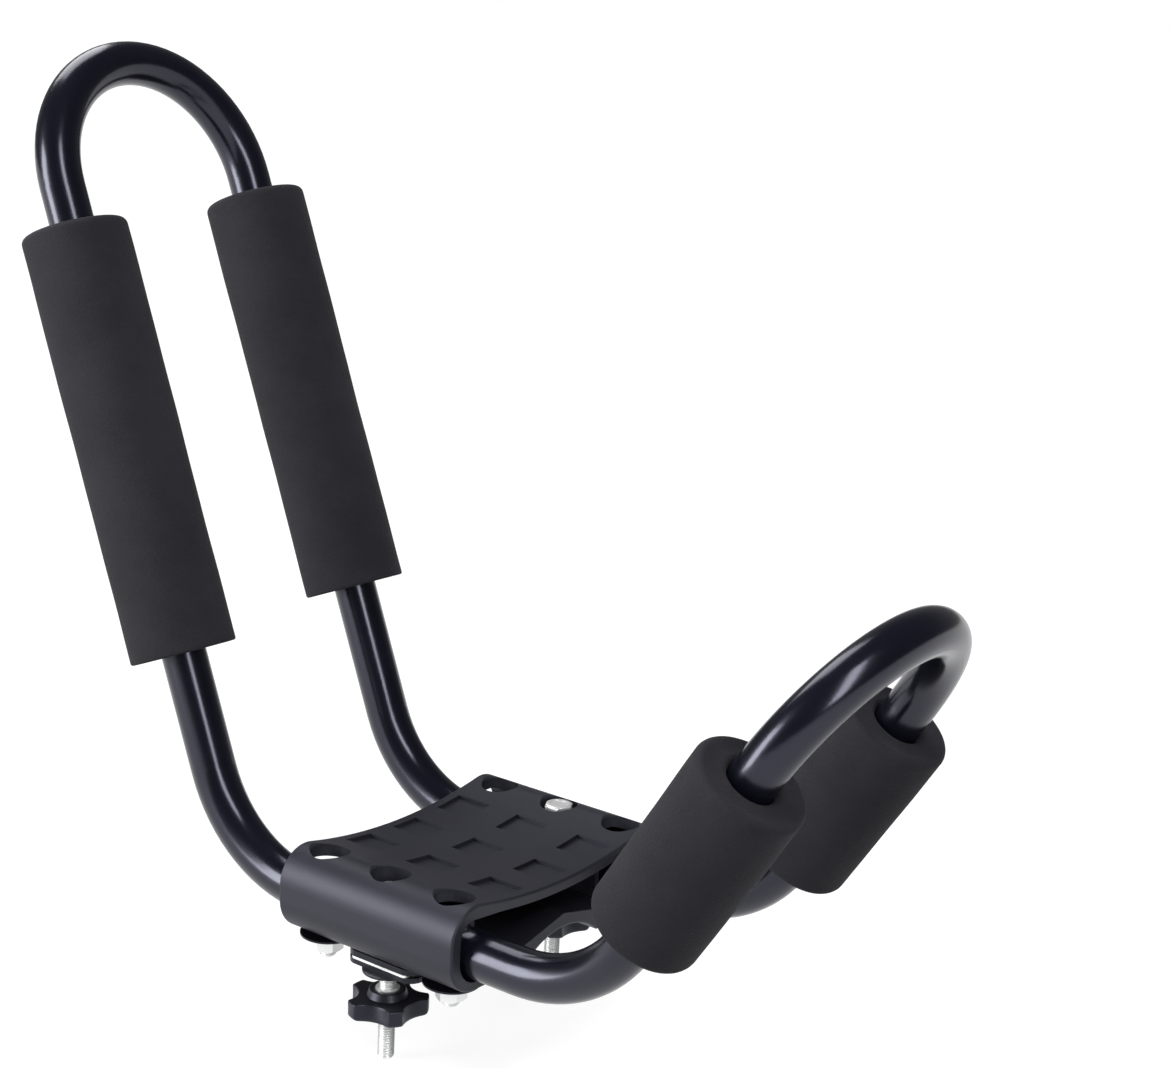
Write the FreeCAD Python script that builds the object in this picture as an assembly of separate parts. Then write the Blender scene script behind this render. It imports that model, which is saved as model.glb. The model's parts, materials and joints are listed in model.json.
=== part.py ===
import FreeCAD, Part
import math
import os

# J-shaped carrier for one narrow boat on a roof crossbar. Millimetres, +Z up.
# Origin: centre of the flat underside of the upper clamp plate, where the crossbar seats.
# +X runs along the crossbar towards the short arm, Y across it.

# Driving dimensions: tubes and foam
tube_d = 22.0
tube_wall = 1.5
leg_spacing = 125.0
bend_radius = 70.0
long_bend_inset = 1.0
short_bend_out = 24.0
long_tilt = 22.0
long_straight = 293.5
short_tilt = 32.0
short_straight = 104.0
foam_d = 52.0
foam_clear = 0.2
foam_edge = 3.0
long_foam_foot = 58.5
long_foam_top = 21.0
short_foam_foot = 9.5
short_foam_top = 2.5
long_foam_stagger = 10.5
short_foam_stagger = -7.5

# Driving dimensions: saddle
hole_pitch = 38.5
saddle_end = 15.0
channel_clear = 1.7
wall_thick = 5.8
floor_thick = 4.3
deck_cover = 6.7
deck_thick = 5.2
deck_end_slope = 12.0
bullnose_r = 16.5
arch_half = 27.5
arch_rise = 10.0
floor_crown_thick = 7.2
crown_drop = 7.0
crown_run = 3.0
channel_lip = 1.0
ceiling_step = 5.5
nose_relief = 0.6
inner_corner_r = 8.5
end_round = 1.2
deck_hole_d = 19.0
deck_hole_chamfer = 1.0
recess_len = 20.0
recess_wid = 17.2
recess_depth = 2.0
recess_pitch_x = 38.0
recess_pitch_y = 33.2
web_setback = 16.5
web_thick = 3.0
web_gap = 2.5
boss_wall = 2.4
boss_gap = 2.1

# Driving dimensions: clamp
plate_overhang = 7.5
plate_corner_r = 7.0
plate_thick = 2.8
cup_gap = 3.75
liner_inner = 8.5
liner_inset = 4.25
liner_corner_r = 2.0
liner_thick = 1.2
liner_gap = 0.1
bar_thick = 2.5
bar_drop = 9.0
bar_end_flat = 26.5
bar_slope_run = 12.0
seat_rise = 0.7

# Driving dimensions: M8 fasteners and cups
bolt_d = 8.0
bolt_hole_d = 8.6
bolt_tip_chamfer = 0.8
bolt_tip = 3.3
head_af = 13.0
head_h = 5.3
nut_h = 6.5
hex_chamfer_angle = 28.0
clamp_bolt_len = 80.0
rear_bolt_lift = 6.6
cup_d = 27.0
clamp_cup_d = 24.5
cup_edge = 0.9
cup_crown = 2.2

# Driving dimensions: knobs
knob_d = 39.0
knob_waist_d = 27.4
knob_valley_r = 10.5
knob_lobes = 5
knob_body_h = 8.2
knob_edge = 2.2
knob_rim = 0.9
knob_hub_h = 3.4
knob_hub_d = 17.0
knob_hub_flare = 1.5
insert_d = 11.5
insert_proud = 0.4
insert_clear = 0.05
knob_gap_front = 7.6
knob_gap_rear = 4.4
knob_turn_front = 0.0
knob_turn_rear = 60.0

# Derived sizes and places
tube_r = tube_d / 2.0
leg_y = leg_spacing / 2.0
channel_r = tube_r + channel_clear
floor_depth = channel_r + floor_thick
axis_z = floor_depth + plate_thick
floor_z = axis_z - floor_depth
half_len = hole_pitch + saddle_end
half_width = leg_y + channel_r + wall_thick
bullnose_y = half_width - bullnose_r
lower_corner_y = half_width - floor_depth
long_bend_x = -(half_len - long_bend_inset)
short_bend_x = half_len + short_bend_out
boss_r = deck_hole_d / 2.0 + boss_wall
tube_end_x = boss_r + boss_gap
long_pad_len = long_straight - long_foam_foot - long_foam_top
short_pad_len = short_straight - short_foam_foot - short_foam_top
slope = math.radians(deck_end_slope)
deck_half = bullnose_y - bullnose_r * math.sin(slope)
deck_r = deck_half / math.sin(slope)
deck_dip_z = tube_r + deck_cover
bullnose_z = deck_dip_z + deck_r * (1.0 - math.cos(slope)) - bullnose_r * math.cos(slope)
plate_len = leg_spacing + 2.0 * plate_overhang
plate_wid = 2.0 * (hole_pitch - cup_d / 2.0 - cup_gap)
liner_wid = plate_overhang + liner_inner
liner_len = plate_wid - 2.0 * liner_inset
bar_top_half = leg_y - bar_end_flat
bar_low_half = bar_top_half - bar_slope_run
bar_top_z = -liner_gap - liner_thick
bar_low_z = bar_top_z - bar_thick
cup_low_z = bar_low_z - cup_crown
clamp_seat_z = tube_r + seat_rise
corner_bolt_len = tube_r + floor_depth + cup_crown + nut_h + bolt_tip
head_corner_r = head_af / math.sqrt(3.0)
hex_chamfer_run = head_corner_r - 0.97 * head_af / 2.0
knob_h = knob_body_h + knob_hub_h
knob_valley_offset = knob_waist_d / 2.0 + knob_valley_r
bore_d = bolt_d + 2.0 * insert_clear
tool_over = tube_d

V = FreeCAD.Vector


def cylinder(r, z0, z1, x=0.0, y=0.0):
    return Part.makeCylinder(r, z1 - z0, V(x, y, z0), V(0, 0, 1))


def flat_edges(body, z_size):
    """Upright edges of a given height."""
    return [e for e in body.Edges if abs(e.BoundBox.ZLength - z_size) < 1e-6]


def ring_face(place, normal):
    """Flat ring, the tube's section, standing at a place with a given normal."""
    outer = Part.Face(Part.Wire([Part.makeCircle(tube_r, place, normal)]))
    inner = Part.Face(Part.Wire([Part.makeCircle(tube_r - tube_wall, place, normal)]))
    return outer.cut(inner).Faces[0]


def bent_tube(side, bend_x, tilt, straight):
    """One U of round tube: two base ends, two bends, two arms and the end hoop."""
    turn = 90.0 - tilt
    a = math.radians(turn)
    base_len = abs(bend_x) - tube_end_x
    arm_dir = V(side * math.cos(a), 0, math.sin(a))
    foot_x = bend_x + side * bend_radius * math.sin(a)
    foot_z = axis_z + bend_radius * (1.0 - math.cos(a))
    bits = []
    for y in (-leg_y, leg_y):
        start = V(side * tube_end_x, y, axis_z)
        bits.append(ring_face(start, V(side, 0, 0)).extrude(V(side * base_len, 0, 0)))
        section = ring_face(V(bend_x, y, axis_z), V(side, 0, 0))
        bits.append(section.revolve(V(bend_x, y, axis_z + bend_radius), V(0, -side, 0), turn))
        bits.append(ring_face(V(foot_x, y, foot_z), arm_dir).extrude(arm_dir * straight))
    top = V(foot_x, leg_y, foot_z) + arm_dir * straight
    hoop_centre = V(top.x, 0, top.z)
    bits.append(ring_face(top, arm_dir).revolve(hoop_centre, V(0, 1, 0).cross(arm_dir), 180.0))
    body = bits[0].multiFuse(bits[1:]).removeSplitter()
    for y in (-leg_y, leg_y):
        body = body.cut(cylinder(bolt_hole_d / 2.0, axis_z - tool_over, axis_z + tool_over, side * hole_pitch, y))
    return body, V(foot_x, 0, foot_z), arm_dir


def foam_sleeve(foot, direction, y, start, length):
    """Foam tube on a straight arm, its outer ends rounded."""
    base = V(foot.x, y, foot.z) + direction * start
    body = Part.makeCylinder(foam_d / 2.0, length, base, direction)
    rims = [e for e in body.Edges if isinstance(e.Curve, Part.Circle)]
    body = body.makeFillet(foam_edge, rims)
    return body.cut(Part.makeCylinder(tube_r + foam_clear, length, base, direction))


def section_point(y, z):
    """Point of the saddle's section, z from the tubes' axis, in its end plane."""
    return V(-half_len, y, axis_z + z)


def deck_z(y, offset=0.0):
    """Height of the deck's curve at y, or of a curve that lies an offset below it."""
    return deck_dip_z + deck_r - math.sqrt((deck_r + offset) ** 2 - y * y)


def on_circle(cy, cz, r, degrees):
    a = math.radians(degrees)
    return (cy + r * math.cos(a), cz + r * math.sin(a))


def mirrored_face(half_contour):
    """Face from half a contour of lines (2 points) and arcs (3 points), from y = 0 outwards and back to y = 0."""
    edges = []
    for piece in half_contour:
        for s in (1.0, -1.0):
            points = [section_point(s * y, z) for (y, z) in piece]
            if len(points) == 2:
                edges.append(Part.LineSegment(points[0], points[1]).toShape())
            else:
                edges.append(Part.Arc(points[0], points[1], points[2]).toShape())
    return Part.Face(Part.Wire(Part.__sortEdges__(edges)))


def saddle_outside():
    """Solid block of the saddle: concave deck, rounded long sides, arched underside, rounded ends."""
    deck_edge = on_circle(bullnose_y, bullnose_z, bullnose_r, 90.0 + deck_end_slope)
    side_top = (half_width, bullnose_z)
    side_low = (half_width, 0.0)
    corner = (lower_corner_y, -floor_depth)
    arch_foot = (arch_half, -floor_depth)
    arch_top = (0.0, -floor_depth + arch_rise)
    arch_r = (arch_half ** 2 + arch_rise ** 2) / (2.0 * arch_rise)
    arch_mid_z = arch_top[1] - arch_r + math.sqrt(arch_r ** 2 - (arch_half / 2.0) ** 2)
    face = mirrored_face([
        ((0.0, deck_dip_z), (deck_half / 2.0, deck_z(deck_half / 2.0)), deck_edge),
        (deck_edge, on_circle(bullnose_y, bullnose_z, bullnose_r, (90.0 + deck_end_slope) / 2.0), side_top),
        (side_top, side_low),
        (side_low, on_circle(lower_corner_y, 0.0, floor_depth, -45.0), corner),
        (corner, arch_foot),
        (arch_foot, (arch_half / 2.0, arch_mid_z), arch_top)])
    solid = face.extrude(V(2.0 * half_len, 0, 0))
    ends = [e for e in solid.Edges if e.BoundBox.XLength < 1e-6]
    return solid.makeFillet(end_round, ends)


def saddle_hollow():
    """Tunnel through the saddle: stepped ceiling, tube channels at the sides, roof-shaped floor."""
    side = half_width - wall_thick
    step_y = leg_y - tube_r - ceiling_step
    step_z = deck_z(step_y, deck_thick)
    ceiling_z = bullnose_z + bullnose_r - wall_thick - nose_relief
    corner_y = side - inner_corner_r
    corner_z = ceiling_z - inner_corner_r
    floor_top = -floor_depth + arch_rise + floor_crown_thick
    channel_end = leg_y - channel_r - channel_lip
    face = mirrored_face([
        ((0.0, deck_z(0.0, deck_thick)), (step_y / 2.0, deck_z(step_y / 2.0, deck_thick)), (step_y, step_z)),
        ((step_y, step_z), (corner_y, ceiling_z)),
        ((corner_y, ceiling_z), on_circle(corner_y, corner_z, inner_corner_r, 45.0), (side, corner_z)),
        ((side, corner_z), (side, 0.0)),
        ((side, 0.0), on_circle(leg_y, 0.0, channel_r, -45.0), (leg_y, -channel_r)),
        ((leg_y, -channel_r), (channel_end, -channel_r)),
        ((channel_end, -channel_r), (arch_half + crown_run, floor_top - crown_drop)),
        ((arch_half + crown_run, floor_top - crown_drop), (0.0, floor_top))])
    return face.extrude(V(2.0 * half_len, 0, 0))


def saddle_ribs(hollow):
    """Webs beside the tubes and bosses round the clamp bolts, set back from the open ends."""
    web_len = 2.0 * (half_len - web_setback)
    web_y = leg_y - tube_r - web_gap - web_thick
    ribs = []
    for s in (-1, 1):
        low_y = min(s * web_y, s * (web_y + web_thick))
        web = Part.makeBox(web_len, web_thick, 4.0 * tool_over, V(-web_len / 2.0, low_y, axis_z - 2.0 * tool_over))
        boss = cylinder(boss_r, axis_z - tool_over, axis_z + tool_over, 0.0, s * leg_y)
        ribs.append(web.common(hollow))
        ribs.append(boss.common(hollow))
    return ribs


def deck_holes():
    """Six deck holes with turned rims; the middle pair ends in a seat for the clamp bolts."""
    r = deck_hole_d / 2.0
    rim_z = axis_z + deck_z(leg_y)
    cuts = []
    for x in (-hole_pitch, 0.0, hole_pitch):
        for y in (-leg_y, leg_y):
            low = axis_z + clamp_seat_z if x == 0.0 else axis_z
            cuts.append(cylinder(r, low, axis_z + 2.0 * tool_over, x, y))
            cone_low = V(x, y, rim_z - deck_hole_chamfer)
            cuts.append(Part.makeCone(r, r + 2.0 * deck_hole_chamfer, 2.0 * deck_hole_chamfer, cone_low, V(0, 0, 1)))
            cuts.append(cylinder(bolt_hole_d / 2.0, axis_z - 2.0 * tool_over, low + 1.0, x, y))
    return cuts


def deck_recesses():
    """Nine shallow recesses whose floors follow the deck."""
    under = Part.makeCylinder(deck_r + recess_depth, 2.0 * half_len,
                              V(-half_len, 0, axis_z + deck_dip_z + deck_r), V(1, 0, 0))
    cuts = []
    for i in (-1, 0, 1):
        for j in (-1, 0, 1):
            corner = V(i * recess_pitch_x - recess_len / 2.0, j * recess_pitch_y - recess_wid / 2.0,
                       axis_z + deck_dip_z - deck_thick)
            cuts.append(Part.makeBox(recess_len, recess_wid, tool_over, corner).common(under))
    return cuts


def make_saddle():
    hollow = saddle_hollow()
    solid = saddle_outside().cut(hollow)
    solid = solid.multiFuse(saddle_ribs(hollow)).removeSplitter()
    cuts = deck_holes()
    solid = solid.cut(cuts[0].multiFuse(cuts[1:]))
    for recess in deck_recesses():
        solid = solid.cut(recess)
    return solid


def rounded_plate(z0, z1):
    """Flat plate over both clamp bolts, with rounded corners."""
    body = Part.makeBox(plate_wid, plate_len, z1 - z0, V(-plate_wid / 2.0, -plate_len / 2.0, z0))
    return body.makeFillet(plate_corner_r, flat_edges(body, z1 - z0))


def drill_pair(body):
    for y in (-leg_y, leg_y):
        body = body.cut(cylinder(bolt_hole_d / 2.0, -2.0 * tool_over, tool_over, 0.0, y))
    return body


def make_upper_plate():
    return drill_pair(rounded_plate(0.0, plate_thick))


def make_lower_bar():
    """Pressed strap: flat ends under the bolts and a lowered flat middle."""
    half = plate_len / 2.0
    z = bar_top_z
    low = z - bar_drop
    top_line = [(-half, z), (-bar_top_half, z), (-bar_low_half, low), (bar_low_half, low), (bar_top_half, z), (half, z)]
    under_line = [(y, height - bar_thick) for (y, height) in top_line]
    points = [V(-plate_wid / 2.0, y, height) for (y, height) in top_line + under_line[::-1]]
    body = Part.Face(Part.makePolygon(points + points[:1])).extrude(V(plate_wid, 0, 0))
    return drill_pair(body.common(rounded_plate(low - 2.0 * bar_thick, z + bar_thick)))


def make_liner(s):
    """Thin bright plate on the end of the lower strap."""
    low_y = min(s * plate_len / 2.0, s * (plate_len / 2.0 - liner_wid))
    body = Part.makeBox(liner_len, liner_wid, liner_thick, V(-liner_len / 2.0, low_y, bar_top_z))
    return drill_pair(body.makeFillet(liner_corner_r, flat_edges(body, liner_thick)))


def make_cup(x, y, top, diameter):
    """Dished washer, flat above and domed below."""
    rise = cup_crown - cup_edge
    half = diameter / 2.0
    dome_r = (half ** 2 + rise ** 2) / (2.0 * rise)
    disc = cylinder(half, top - cup_crown, top, x, y)
    dome = Part.makeSphere(dome_r, V(x, y, top - cup_crown + dome_r))
    return disc.common(dome).cut(cylinder(bolt_hole_d / 2.0, top - 2.0 * cup_crown, top + cup_crown, x, y))


def hex_block(x, y, z0, height, both_ends):
    """Hexagon whose top corners, or all, are turned off as on a standard head or nut."""
    corners = [V(x + head_corner_r * math.cos(math.radians(30 + 60 * k)),
                 y + head_corner_r * math.sin(math.radians(30 + 60 * k)), z0) for k in range(7)]
    body = Part.Face(Part.makePolygon(corners)).extrude(V(0, 0, height))
    drop = hex_chamfer_run * math.tan(math.radians(hex_chamfer_angle))
    small = head_corner_r - hex_chamfer_run
    top_cone = Part.makeCone(head_corner_r, small, drop, V(x, y, z0 + height - drop), V(0, 0, 1))
    body = body.common(top_cone.fuse(cylinder(head_corner_r, z0, z0 + height - drop, x, y)))
    if both_ends:
        low_cone = Part.makeCone(small, head_corner_r, drop, V(x, y, z0), V(0, 0, 1))
        body = body.common(low_cone.fuse(cylinder(head_corner_r, z0 + drop, z0 + height, x, y)))
    return body


def make_bolt(x, y, under_head, length):
    tip_z = under_head - length
    shank = cylinder(bolt_d / 2.0, tip_z, under_head, x, y)
    tip = [e for e in shank.Edges if isinstance(e.Curve, Part.Circle) and abs(e.BoundBox.ZMax - tip_z) < 1e-3]
    shank = shank.makeChamfer(bolt_tip_chamfer, tip)
    return shank.fuse(hex_block(x, y, under_head, head_h, False)).removeSplitter()


def make_nut(x, y, top):
    body = hex_block(x, y, top - nut_h, nut_h, True)
    return body.cut(cylinder(bolt_d / 2.0, top - 2.0 * nut_h, top + nut_h, x, y))


def make_knob(y, hub_top, turn):
    """Star grip with rounded lobes and a raised hub."""
    low = hub_top - knob_h
    body_top = low + knob_body_h
    body = cylinder(knob_d / 2.0, low, body_top)
    for k in range(knob_lobes):
        a = math.radians(turn + 360.0 * k / knob_lobes)
        x_valley = knob_valley_offset * math.cos(a)
        y_valley = knob_valley_offset * math.sin(a)
        body = body.cut(cylinder(knob_valley_r, low - knob_rim, body_top + knob_rim, x_valley, y_valley))
    body = body.makeFillet(knob_edge, flat_edges(body, knob_body_h))
    body = body.makeFillet(knob_rim, [e for e in body.Edges if e.BoundBox.ZLength < 1e-6])
    hub = Part.makeCone(knob_hub_d / 2.0 + knob_hub_flare, knob_hub_d / 2.0, knob_hub_h + knob_rim,
                        V(0, 0, body_top - knob_rim), V(0, 0, 1))
    body = body.fuse(hub).cut(cylinder(insert_d / 2.0, low - knob_rim, hub_top + knob_rim))
    body.translate(V(0, y, 0))
    return body


def make_insert(y, hub_top):
    low = hub_top - knob_h
    high = hub_top + insert_proud
    body = cylinder(insert_d / 2.0, low, high, 0.0, y)
    return body.cut(cylinder(bore_d / 2.0, low - insert_proud, high + insert_proud, 0.0, y))


parts = {}
parts["long_hoop"], long_foot, long_dir = bent_tube(-1, long_bend_x, long_tilt, long_straight)
parts["short_hoop"], short_foot, short_dir = bent_tube(1, short_bend_x, short_tilt, short_straight)
parts["saddle"] = make_saddle()
parts["upper_plate"] = make_upper_plate()
parts["lower_bar"] = make_lower_bar()
rows = (("front", -1, 0.0, 0.0, 0.0, knob_gap_front, knob_turn_front),
        ("rear", 1, long_foam_stagger, short_foam_stagger, rear_bolt_lift, knob_gap_rear, knob_turn_rear))
for row, s, long_shift, short_shift, bolt_lift, knob_gap, knob_turn in rows:
    y = s * leg_y
    parts["long_pad_" + row] = foam_sleeve(long_foot, long_dir, y, long_foam_foot + long_shift, long_pad_len)
    parts["short_pad_" + row] = foam_sleeve(short_foot, short_dir, y, short_foam_foot + short_shift, short_pad_len)
    for end, side in (("long", -1), ("short", 1)):
        x = side * hole_pitch
        label = row + "_" + end
        parts["corner_bolt_" + label] = make_bolt(x, y, axis_z + tube_r, corner_bolt_len)
        parts["corner_cup_" + label] = make_cup(x, y, floor_z, cup_d)
        parts["corner_nut_" + label] = make_nut(x, y, floor_z - cup_crown)
    parts["liner_" + row] = make_liner(s)
    parts["clamp_cup_" + row] = make_cup(0.0, y, bar_low_z, clamp_cup_d)
    parts["clamp_bolt_" + row] = make_bolt(0.0, y, axis_z + clamp_seat_z + bolt_lift, clamp_bolt_len)
    hub_top = cup_low_z - knob_gap
    parts["knob_" + row] = make_knob(y, hub_top, knob_turn)
    parts["knob_insert_" + row] = make_insert(y, hub_top)

os.makedirs("parts", exist_ok=True)
for name in parts:
    shape = parts[name]
    if len(shape.Solids) == 1:
        shape = shape.Solids[0]
    shape.exportStep("parts/" + name + ".step")
    box = shape.BoundBox
    print("%-24s solids %d valid %s volume %.1f  x %.1f..%.1f y %.1f..%.1f z %.1f..%.1f" % (
        name, len(shape.Solids), shape.isValid(), shape.Volume, box.XMin, box.XMax, box.YMin, box.YMax, box.ZMin, box.ZMax))
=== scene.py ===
import json
import math

import bmesh
import bpy
import numpy as np
from mathutils import Matrix, Vector


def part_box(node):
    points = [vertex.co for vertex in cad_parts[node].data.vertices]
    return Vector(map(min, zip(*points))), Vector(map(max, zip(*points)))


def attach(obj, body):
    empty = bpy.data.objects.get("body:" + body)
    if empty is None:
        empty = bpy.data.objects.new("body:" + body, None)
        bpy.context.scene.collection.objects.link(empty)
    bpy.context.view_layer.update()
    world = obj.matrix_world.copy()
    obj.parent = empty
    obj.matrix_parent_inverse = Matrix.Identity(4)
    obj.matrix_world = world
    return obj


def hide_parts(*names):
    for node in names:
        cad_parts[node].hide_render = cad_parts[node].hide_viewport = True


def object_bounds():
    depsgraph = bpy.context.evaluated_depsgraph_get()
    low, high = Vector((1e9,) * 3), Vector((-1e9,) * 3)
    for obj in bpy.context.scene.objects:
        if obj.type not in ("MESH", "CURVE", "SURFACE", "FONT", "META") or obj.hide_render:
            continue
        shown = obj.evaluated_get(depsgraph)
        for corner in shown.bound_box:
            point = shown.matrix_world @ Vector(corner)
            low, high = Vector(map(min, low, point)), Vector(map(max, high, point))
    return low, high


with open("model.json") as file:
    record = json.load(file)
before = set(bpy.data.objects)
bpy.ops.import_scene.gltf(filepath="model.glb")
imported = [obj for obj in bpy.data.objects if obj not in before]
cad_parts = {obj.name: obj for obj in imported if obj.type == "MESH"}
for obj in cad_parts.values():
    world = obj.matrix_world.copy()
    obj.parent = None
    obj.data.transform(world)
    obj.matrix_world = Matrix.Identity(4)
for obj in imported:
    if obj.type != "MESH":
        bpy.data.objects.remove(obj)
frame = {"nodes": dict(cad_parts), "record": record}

# Looks of a padded J-shaped roof carrier: bent gloss tubes in a moulded saddle. Metres, +Z up.

scene = bpy.context.scene
cad_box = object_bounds()


# Node materials written as sums

class Sock:
    """A node output that takes part in arithmetic; each operation adds a Math node."""

    def __init__(self, mat, socket):
        self.mat = mat
        self.socket = socket

    def __add__(self, other):
        return self.mat.math("ADD", self, other)

    def __radd__(self, other):
        return self.mat.math("ADD", other, self)

    def __mul__(self, other):
        return self.mat.math("MULTIPLY", self, other)

    def __rmul__(self, other):
        return self.mat.math("MULTIPLY", other, self)


class NodeTree:
    """A node tree and the short calls that fill it."""

    def __init__(self, tree):
        self.tree = tree
        self.tree.nodes.clear()

    def put(self, socket, value):
        if isinstance(value, Sock):
            self.tree.links.new(value.socket, socket)
        else:
            socket.default_value = value

    def node(self, kind, inputs=None, out=0, **props):
        """Any node: props set its own fields, inputs its sockets by name or number."""
        made = self.tree.nodes.new(kind)
        for key, value in props.items():
            setattr(made, key, value)
        for key, value in (inputs or {}).items():
            self.put(made.inputs[key], value)
        return Sock(self, made.outputs[out])

    def math(self, operation, a, b):
        return self.node("ShaderNodeMath", {0: a, 1: b}, operation=operation)

    def vec(self, operation, a, b):
        return self.node("ShaderNodeVectorMath", {0: a, 1: b}, operation=operation)

    def mix(self, factor, a, b):
        """Colour that goes from a to b as factor goes from 0 to 1."""
        return self.node("ShaderNodeMix", {0: factor, 6: a, 7: b}, out=2, data_type="RGBA")

    def ramp(self, value, low, high, to_low=0.0, to_high=1.0):
        """Smooth step of value between low and high."""
        return self.node("ShaderNodeMapRange", {0: value, 1: low, 2: high, 3: to_low, 4: to_high},
                         interpolation_type="SMOOTHSTEP")

    def place(self):
        return self.node("ShaderNodeTexCoord", out="Object")

    def noise(self, scale, detail=2.0, rough=0.5, at=None):
        sockets = {"Vector": at or self.place(), "Scale": scale, "Detail": detail, "Roughness": rough}
        return self.node("ShaderNodeTexNoise", sockets, out="Fac")

    def cells(self, scale):
        sockets = {"Vector": self.place(), "Scale": scale}
        return self.node("ShaderNodeTexVoronoi", sockets, out="Distance")

    def bump(self, height, strength, distance):
        sockets = {"Height": height, "Strength": strength, "Distance": distance}
        return self.node("ShaderNodeBump", sockets)


class Material(NodeTree):
    """A Principled material; keys are the shader's own socket names with _ for spaces."""

    def __init__(self, name):
        self.material = bpy.data.materials.new(name)
        self.material.use_nodes = True
        super().__init__(self.material.node_tree)
        self.shader = self.tree.nodes.new("ShaderNodeBsdfPrincipled")
        self.output = self.tree.nodes.new("ShaderNodeOutputMaterial")
        self.tree.links.new(self.shader.outputs[0], self.output.inputs[0])

    def set(self, **sockets):
        for key, value in sockets.items():
            self.put(self.shader.inputs[key.replace("_", " ")], value)
        return self.material


def grey(level):
    return (level, level, level, 1.0)


cool_gloss = (0.80, 0.82, 1.0, 1.0)


def make_tube_paint():
    """Gloss powder coat: faint orange peel and slight changes of gloss."""
    m = Material("tube_paint")
    peel = m.noise(420.0, 3.0, 0.55)
    cloud = m.noise(38.0, 2.0)
    return m.set(
        Base_Color=m.mix(cloud, (0.0030, 0.0031, 0.0070, 1.0), (0.0060, 0.0061, 0.0120, 1.0)),
        Roughness=0.18 + 0.05 * cloud,
        Specular_IOR_Level=0.56,
        Specular_Tint=cool_gloss,
        Normal=m.bump(peel, 0.10, 0.0002))


def make_foam_skin():
    """Closed-cell foam: fine pores, a dusty nap and soft cloudy patches."""
    m = Material("foam_skin")
    cloud = m.noise(26.0, 3.0, 0.6)
    pores = m.cells(900.0)
    grain = m.noise(2600.0, 2.0, 0.6)
    tone = m.ramp(cloud, 0.3, 0.7) * 0.6 + grain * 0.4
    return m.set(
        Base_Color=m.mix(tone, (0.0138, 0.0130, 0.0170, 1.0), (0.0232, 0.0220, 0.0278, 1.0)),
        Roughness=0.82 + 0.12 * grain,
        Specular_IOR_Level=0.2,
        Sheen_Weight=0.03,
        Sheen_Roughness=0.5,
        Normal=m.bump(pores + grain * 0.8 + cloud * 1.5, 0.5, 0.00045))


def make_saddle_plastic():
    """Satin moulded plastic with a fine spark-eroded grain."""
    m = Material("saddle_plastic")
    grain = m.noise(1500.0, 2.0, 0.6)
    cloud = m.noise(24.0, 3.0)
    return m.set(
        Base_Color=m.mix(cloud, (0.0165, 0.0167, 0.0225, 1.0), (0.0232, 0.0235, 0.0308, 1.0)),
        Roughness=0.42 + 0.08 * cloud + 0.06 * grain,
        Specular_IOR_Level=0.34,
        Specular_Tint=cool_gloss,
        Normal=m.bump(grain, 0.35, 0.00015))


def make_knob_plastic():
    """Harder black plastic with a slight grain."""
    m = Material("knob_plastic")
    grain = m.noise(1300.0, 2.0)
    cloud = m.noise(60.0, 2.0)
    return m.set(
        Base_Color=m.mix(cloud, (0.0050, 0.0052, 0.0085, 1.0), (0.0095, 0.0097, 0.0145, 1.0)),
        Roughness=0.34 + 0.12 * cloud,
        Specular_IOR_Level=0.42,
        Specular_Tint=cool_gloss,
        Normal=m.bump(grain, 0.3, 0.00012))


def make_black_steel():
    """Thin satin black coat on pressed steel."""
    m = Material("black_steel")
    peel = m.noise(700.0, 3.0, 0.6)
    cloud = m.noise(45.0, 2.0)
    return m.set(
        Base_Color=m.mix(cloud, (0.004, 0.004, 0.0055, 1.0), (0.008, 0.008, 0.0105, 1.0)),
        Roughness=0.22 + 0.12 * cloud,
        Specular_IOR_Level=0.34,
        Specular_Tint=cool_gloss,
        Normal=m.bump(peel, 0.3, 0.00015))


def make_zinc():
    """Bright zinc plate: fine spangle, slight bluish and yellowish clouds, turning marks."""
    m = Material("zinc_plate")
    cloud = m.noise(140.0, 3.0, 0.6)
    spangle = m.cells(1100.0)
    at = m.vec("MULTIPLY", m.place(), (60.0, 60.0, 2400.0))
    lines = m.noise(1.0, 2.0, 0.5, at)
    return m.set(
        Metallic=0.65,
        Base_Color=m.mix(cloud, (0.86, 0.87, 0.89, 1.0), (0.93, 0.93, 0.91, 1.0)),
        Roughness=0.34 + 0.06 * cloud + 0.03 * spangle,
        Normal=m.bump(lines, 0.25, 0.00008))


looks = {
    "black_tube": make_tube_paint(),
    "foam": make_foam_skin(),
    "saddle_plastic": make_saddle_plastic(),
    "black_steel": make_black_steel(),
    "zinc_steel": make_zinc(),
    "knob_plastic": make_knob_plastic(),
}

slot_of = {item["node"]: item["material_slot"] for item in frame["record"]["subparts"]}
for node, obj in frame["nodes"].items():
    obj.data.materials.clear()
    obj.data.materials.append(looks[slot_of[node]])


# Meshes from grids

def mesh_object(name, verts, faces, slot, sharp=None):
    """Object at the origin from arrays of points and faces, shaded smooth up to a sharp angle in degrees."""
    mesh = bpy.data.meshes.new(name)
    mesh.from_pydata(verts.reshape(-1, 3).tolist(), [], faces)
    mesh.validate()
    mesh.polygons.foreach_set("use_smooth", np.ones(len(mesh.polygons), dtype=bool))
    if sharp:
        mesh.set_sharp_from_angle(angle=math.radians(sharp))
    mesh.materials.append(looks[slot])
    obj = bpy.data.objects.new(name, mesh)
    scene.collection.objects.link(obj)
    return obj


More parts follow.
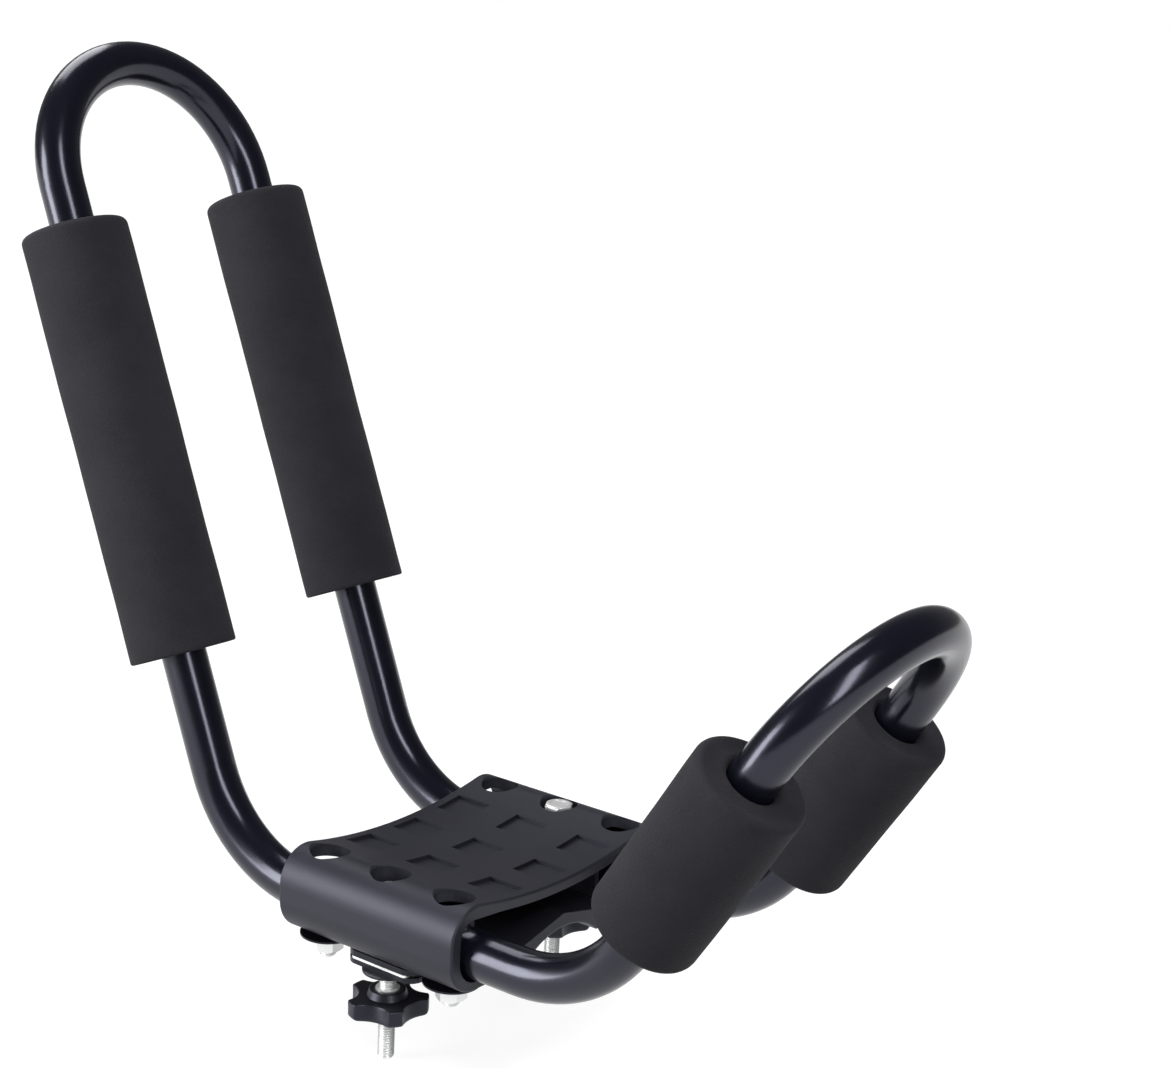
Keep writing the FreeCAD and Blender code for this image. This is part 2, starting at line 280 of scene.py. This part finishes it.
def grid_faces(rows, cols, start=0):
    """Quads of a grid whose rows and columns both close on themselves."""
    i = np.arange(rows)[:, None]
    j = np.arange(cols)[None, :]
    up = (i + 1) % rows
    right = (j + 1) % cols
    quads = np.stack([i * cols + j, i * cols + right, up * cols + right, up * cols + j], axis=-1)
    return (quads.reshape(-1, 4) + start).tolist()


def quarter(cx, cy, r, start, steps=6):
    """Quarter circle of points (x, y), start in degrees, turning left."""
    a = np.radians(np.linspace(start, start + 90.0, steps + 1))
    return np.column_stack([cx + r * np.cos(a), cy + r * np.sin(a)])


# Foam sleeves

def make_sleeve(name, foot, lean, y, start, length, low_edge, high_edge, seed):
    """Foam tube along an arm.

    A closed outline (distance t along the arm, radius) is turned about the arm's line:
    r(t, a) = r0 + 0.22 mm * sum of three slow waves in t and a, faded out at the bore.
    The bore opens a little at both ends.
    """
    outer = 0.026
    bore = 0.0112
    mouth = 0.0016
    dish = 0.0005
    wave_height = 0.00022
    wall_t = np.linspace(low_edge, length - high_edge, 56)
    wall = np.column_stack([wall_t, np.full(len(wall_t), outer)])
    high = quarter(length - high_edge, outer - high_edge, high_edge, 0.0)[::-1]
    low = quarter(low_edge, outer - low_edge, low_edge, 90.0)[::-1]
    face_r = np.linspace(outer - high_edge, bore + 2 * mouth, 8)[1:-1]
    sink = dish * np.sin(np.pi * np.linspace(0.0, 1.0, 8))[1:-1]
    high_face = np.column_stack([length - sink, face_r])
    low_face = np.column_stack([sink, face_r])[::-1]
    high_mouth = quarter(length - 2 * mouth, bore + 2 * mouth, 2 * mouth, 270.0)[::-1]
    low_mouth = quarter(2 * mouth, bore + 2 * mouth, 2 * mouth, 180.0)[::-1]
    bore_t = np.linspace(length - 2 * mouth, 2 * mouth, 20)[1:-1]
    inside = np.column_stack([bore_t, np.full(len(bore_t), bore)])
    outline = np.vstack([wall, high[1:], high_face, high_mouth, inside, low_mouth, low_face, low[:-1]])
    t = outline[:, 0][:, None]
    r = outline[:, 1][:, None]
    cols = 96
    a = np.linspace(0.0, 2 * np.pi, cols, endpoint=False)[None, :]
    rng = np.random.default_rng(seed)
    wave = np.zeros((len(outline), cols))
    for turns, pitch in ((2, 0.19), (3, 0.083), (5, 0.041)):
        wave += np.sin(turns * a + 2 * np.pi * t / pitch + rng.uniform(0, 2 * np.pi)) / turns
    fade = np.clip((r - bore) / (outer - bore), 0.0, 1.0)
    radius = r + wave_height * fade * wave
    along = np.array([math.sin(lean), 0.0, math.cos(lean)])
    side = np.array([0.0, 1.0, 0.0])
    across = np.cross(along, side)
    base = np.array([foot[0], y, foot[1]]) + along * start
    verts = base + t[..., None] * along + radius[..., None] * (
        np.cos(a)[..., None] * side + np.sin(a)[..., None] * across)
    piece = mesh_object(name, verts, grid_faces(len(outline), cols), "foam")
    return piece


# Foot of each straight arm as (x, z), its lean from upright, and the legs' distance from the middle
long_foot = (-0.117403, 0.063578)
short_foot = (0.136863, 0.052706)
long_lean = math.radians(-22.0)
short_lean = math.radians(32.0)
leg_y = 0.0625

# Node, foot, lean, y, start along the arm, length, and the rounding of the low and the high end
sleeves = (
    ("long_pad_front", long_foot, long_lean, -leg_y, 0.0585, 0.214, 0.0012, 0.0036),
    ("long_pad_rear", long_foot, long_lean, leg_y, 0.069, 0.214, 0.0012, 0.0036),
    ("short_pad_front", short_foot, short_lean, -leg_y, 0.0095, 0.092, 0.0034, 0.0034),
    ("short_pad_rear", short_foot, short_lean, leg_y, 0.0045, 0.0895, 0.0034, 0.0034),
)
for seed, (node, *sizes) in enumerate(sleeves):
    sleeve = make_sleeve("foam_" + node, *sizes, seed)
    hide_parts(node)
    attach(sleeve, "rack")


# Bolts

head_height = 0.0053


def lathe(profile, cols, x, y, shape=None):
    """Points of a profile of (radius, z) turned about the upright line at x, y.

    shape(a, r) may change the radius.
    """
    a = np.linspace(0.0, 2 * np.pi, cols, endpoint=False)[None, :]
    r = profile[:, 0][:, None] * np.ones_like(a)
    z = profile[:, 1][:, None] * np.ones_like(a)
    if shape:
        r = shape(a, r)
    return np.stack([x + r * np.cos(a), y + r * np.sin(a), z], axis=-1)


def make_bolt(name, x, y, under_head, length, thread_length):
    """M8 hexagon bolt.

    The head is a lathe surface whose radius is held inside the hexagon, r = min(r, (13 mm / 2) / cos(b)),
    b the angle from the nearest flat. The thread is, on a grid whose rows climb with the helix,
    r = 4 mm - 0.66 mm * (0.5 + 0.5 cos(2 pi (z / 1.25 mm - a / 2 pi)))^0.8.
    """
    shank_r = 0.004
    thread_depth = 0.00066
    flat = 0.0065
    corner = flat / math.cos(math.radians(30.0))

    def hexagon(a, r):
        b = (a % math.radians(60.0)) - math.radians(30.0)
        return np.minimum(r, flat / np.cos(b))

    rim = head_height - 0.0008
    head_profile = np.array([
        (0.0001, 0.0), (0.0058, 0.0), (0.0061, 0.0001), (0.0061, 0.0004),
        (corner, 0.0005), (corner, rim - 0.0004), (corner - 0.0004, rim + 0.0002),
        (flat * 0.97, head_height - 0.0001), (flat * 0.94, head_height),
        (0.0047, head_height), (0.0044, head_height - 0.0003), (0.0001, head_height - 0.00035)])
    head_profile[:, 1] += under_head
    head = lathe(head_profile, 120, x, y, hexagon)
    shank_low = under_head - length + thread_length
    shank_profile = np.array([
        (0.0001, shank_low - 0.0005), (0.0039, shank_low - 0.0005), (shank_r, shank_low),
        (shank_r, under_head + 0.001), (0.0001, under_head + 0.001)])
    shank = lathe(shank_profile, 48, x, y)

    pitch = 0.00125
    per_pitch = 10
    cols = 48
    tip = under_head - length
    rows = int(round(thread_length / pitch)) * per_pitch + per_pitch + 1
    j = np.arange(rows)[:, None]
    i = np.arange(cols)[None, :]
    z = tip + pitch * (j / per_pitch + i / cols - 1.0)
    z = np.clip(z, tip, tip + thread_length)
    a = 2 * np.pi * i / cols * np.ones_like(z)
    phase = 2 * np.pi * (z / pitch - i / cols)
    r = shank_r - thread_depth * (0.5 + 0.5 * np.cos(phase)) ** 0.8
    r = np.minimum(r, 0.0031 + (z - tip) * 0.9)
    thread = np.stack([x + r * np.cos(a), y + r * np.sin(a), z], axis=-1)
    faces = []
    k = np.arange(rows - 1)
    for col in range(cols - 1):
        near = k * cols + col
        faces.append(np.column_stack([near, near + 1, near + 1 + cols, near + cols]))
    k = np.arange(rows - 1 - per_pitch)
    near = k * cols + cols - 1
    past = (k + per_pitch) * cols
    faces.append(np.column_stack([near, past, past + cols, near + cols]))
    quads = np.vstack(faces)
    flat_z = z.reshape(-1)[quads]
    quads = quads[np.ptp(flat_z, axis=1) > 1e-9]

    n_head = head.shape[0] * head.shape[1]
    n_shank = shank.shape[0] * shank.shape[1]
    all_faces = grid_faces(head.shape[0], head.shape[1])
    all_faces += grid_faces(shank.shape[0], shank.shape[1], n_head)
    all_faces += (quads + n_head + n_shank).tolist()
    verts = np.vstack([head.reshape(-1, 3), shank.reshape(-1, 3), thread.reshape(-1, 3)])
    obj = mesh_object(name, verts, all_faces, "zinc_steel")
    work = bmesh.new()
    work.from_mesh(obj.data)
    bmesh.ops.remove_doubles(work, verts=work.verts, dist=1e-7)
    bmesh.ops.holes_fill(work, edges=[e for e in work.edges if e.is_boundary])
    bmesh.ops.recalc_face_normals(work, faces=work.faces)
    work.to_mesh(obj.data)
    work.free()
    obj.data.set_sharp_from_angle(angle=math.radians(38.0))
    return obj


def add_bolt(node, length, thread_length):
    low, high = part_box(node)
    x = 0.5 * (low[0] + high[0])
    y = 0.5 * (low[1] + high[1])
    bolt = make_bolt("threaded_" + node, x, y, high[2] - head_height, length, thread_length)
    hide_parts(node)
    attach(bolt, "rack")


for row in ("front", "rear"):
    add_bolt("clamp_bolt_" + row, 0.080, 0.060)
    for end in ("long", "short"):
        add_bolt("corner_bolt_%s_%s" % (row, end), 0.040, 0.0175)


# Grip knobs

def make_knob(name, y, low, turn):
    """Five-lobed grip with a raised hub.

    Outline at height h, b the angle from the nearest valley and D = w + R:
    r = softmin(19.5 mm, D cos b - sqrt(R^2 - D^2 sin^2 b)). The valley's distance w from the middle goes
    from 15.7 mm at the bottom to 13.7 mm at the top face and its radius R from 19 mm to 10.5 mm, so the
    walls between the lobes lean outwards. A row of the grid is r = core + f * (outline - inset - core).
    All numbers here are millimetres, and the points are scaled to metres at the end.
    """
    cols = 240
    tip = 19.5
    body = 8.2
    top = 11.6
    core = 5.75
    round_low = 1.8
    round_top = 0.9
    rows = []
    for f in (0.25, 0.5, 0.75, 0.9):
        rows.append((f, round_low, 0.0, core + 0.3))
    for t in np.radians(np.linspace(0.0, 90.0, 8)):
        rows.append((1.0, round_low * (1.0 - math.sin(t)), round_low * (1.0 - math.cos(t)), core))
    for h in (3.2, 4.6, 6.0):
        rows.append((1.0, 0.0, h, core))
    for t in np.radians(np.linspace(0.0, 90.0, 7)):
        rows.append((1.0, round_top * (1.0 - math.cos(t)), body - round_top * (1.0 - math.sin(t)), core))
    for f in (0.85, 0.6, 0.35, 0.12):
        rows.append((f, round_top, body, 9.9))
    for r, h in ((9.75, 8.25), (9.6, 8.5), (8.65, 11.2), (8.5, 11.48), (8.2, top), (core + 0.3, top),
                 (core, top - 0.3), (core, 6.0), (core, 0.3), (core + 0.3, 0.0)):
        rows.append((0.0, 0.0, h, r))
    f, inset, h, inner = [column[:, None] for column in np.array(rows).T]
    a = np.linspace(0.0, 2 * np.pi, cols, endpoint=False)[None, :]
    b = (a - turn + np.pi / 5) % (2 * np.pi / 5) - np.pi / 5
    w = 15.7 - 2.0 * h / body
    bend = 19.0 - 8.5 * np.clip(h / body, 0.0, 1.0)
    far = w + bend
    room = bend ** 2 - (far * np.sin(b)) ** 2
    valley = far * np.cos(b) - np.sqrt(np.clip(room, 0.0, None)) + np.clip(-room, 0.0, None)
    soft = 0.5
    outline = -soft * np.log(np.exp(-tip / soft) + np.exp(-valley / soft))
    r = (inner + f * (outline - inset - inner)) * 0.001
    verts = np.stack([r * np.cos(a), y + r * np.sin(a), low + 0.001 * h * np.ones_like(a)], axis=-1)
    return mesh_object(name, verts, grid_faces(len(rows), cols), "knob_plastic", 50.0)


for row, y, turned in (("front", -leg_y, 0.0), ("rear", leg_y, 60.0)):
    knob = make_knob("star_knob_" + row, y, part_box("knob_" + row)[0][2], math.radians(turned))
    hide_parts("knob_" + row)
    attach(knob, "grip_" + row)


# Camera, floor and light

right = Vector((0.7933, 0.6067, 0.0498))
up = Vector((-0.1839, 0.1608, 0.9697))
back = right.cross(up).normalized()
up = back.cross(right).normalized()
right.normalize()
camera_data = bpy.data.cameras.new("camera")
camera_data.sensor_width = 36.0
camera_data.lens = 67.12
camera = bpy.data.objects.new("camera", camera_data)
turn = Matrix((right, up, back)).transposed()
camera.matrix_world = Matrix.Translation(Vector((0.6235, -0.7635, 0.4385))) @ turn.to_4x4()
scene.collection.objects.link(camera)
scene.camera = camera

floor_mesh = bpy.data.meshes.new("floor")
half = 60.0
floor_z = cad_box[0][2] - 0.0006
corners = [(-half, -half, floor_z), (half, -half, floor_z), (half, half, floor_z), (-half, half, floor_z)]
floor_mesh.from_pydata(corners, [], [(0, 1, 2, 3)])
floor = bpy.data.objects.new("floor", floor_mesh)
scene.collection.objects.link(floor)


def shows_backdrop(tree):
    """1 for rays from the camera, and for those that a shiny or clear surface sends on."""
    seen = [tree.node("ShaderNodeLightPath", out=kind)
            for kind in ("Is Camera Ray", "Is Glossy Ray", "Is Transmission Ray")]
    return tree.math("MAXIMUM", tree.math("MAXIMUM", seen[0], seen[1]), seen[2])


paper = Material("paper")
away = paper.node("ShaderNodeVectorMath", {0: paper.place()}, out="Value", operation="LENGTH")
glow = paper.ramp(away, 0.5, 2.5, 0.86, 1.0)
paper.set(
    Base_Color=grey(0.25),
    Roughness=0.9,
    Specular_IOR_Level=0.0,
    Emission_Strength=1.0,
    Emission_Color=paper.mix(shows_backdrop(paper) * glow, grey(0.0), grey(1.0)))
floor_mesh.materials.append(paper.material)

world = bpy.data.worlds.new("studio")
world.use_nodes = True
scene.world = world
sky = NodeTree(world.node_tree)
seen = sky.node("ShaderNodeLightPath", out="Is Camera Ray")
soft = sky.node("ShaderNodeLightPath", out="Is Diffuse Ray")
toward = sky.node("ShaderNodeTexCoord", out="Generated")
height = sky.node("ShaderNodeSeparateXYZ", {0: toward}, out="Z")
cove_side = (-0.62, 0.78, 0.0)
behind = sky.node("ShaderNodeVectorMath", {0: toward, 1: cove_side}, out="Value", operation="DOT_PRODUCT")
cove = sky.ramp(behind, 0.0, 0.9) * sky.ramp(height, 0.10, 0.85, 1.0, 0.0)
room = sky.mix(soft, sky.mix(cove, grey(0.07), grey(0.20)), grey(0.28))
colour = sky.mix(seen, room, grey(1.0))
background = sky.node("ShaderNodeBackground", {"Color": colour, "Strength": 1.0})
output = sky.tree.nodes.new("ShaderNodeOutputWorld")
sky.put(output.inputs[0], background)

target = Vector((0.0, 0.0, 0.16))


def add_lamp(name, azimuth, elevation, distance, width, height, power, gloss=True, matt=True):
    """Rectangular soft light that faces the object from a direction in degrees.

    gloss and matt say which kinds of surface it lights.
    """
    data = bpy.data.lights.new(name, "AREA")
    data.shape = "RECTANGLE"
    data.size = width
    data.size_y = height
    data.energy = power
    a = math.radians(azimuth)
    e = math.radians(elevation)
    offset = Vector((math.cos(a) * math.cos(e), math.sin(a) * math.cos(e), math.sin(e)))
    lamp = bpy.data.objects.new(name, data)
    lamp.location = target + offset * distance
    lamp.rotation_euler = offset.to_track_quat("Z", "Y").to_euler()
    lamp.visible_glossy = gloss
    lamp.visible_diffuse = matt
    scene.collection.objects.link(lamp)


add_lamp("right_strip", -28.0, 34.0, 1.7, 0.40, 1.5, 18.0)
add_lamp("left_box", -127.0, 12.0, 1.7, 0.60, 1.0, 20.0)
add_lamp("left_shine", -127.0, 12.0, 1.7, 0.60, 1.0, 30.0, matt=False)
add_lamp("top_box", -90.0, 80.0, 1.6, 0.9, 0.9, 12.0, gloss=False)
add_lamp("back_box", 163.0, 48.0, 1.8, 0.85, 1.10, 12.0)

scene.view_settings.view_transform = "Standard"
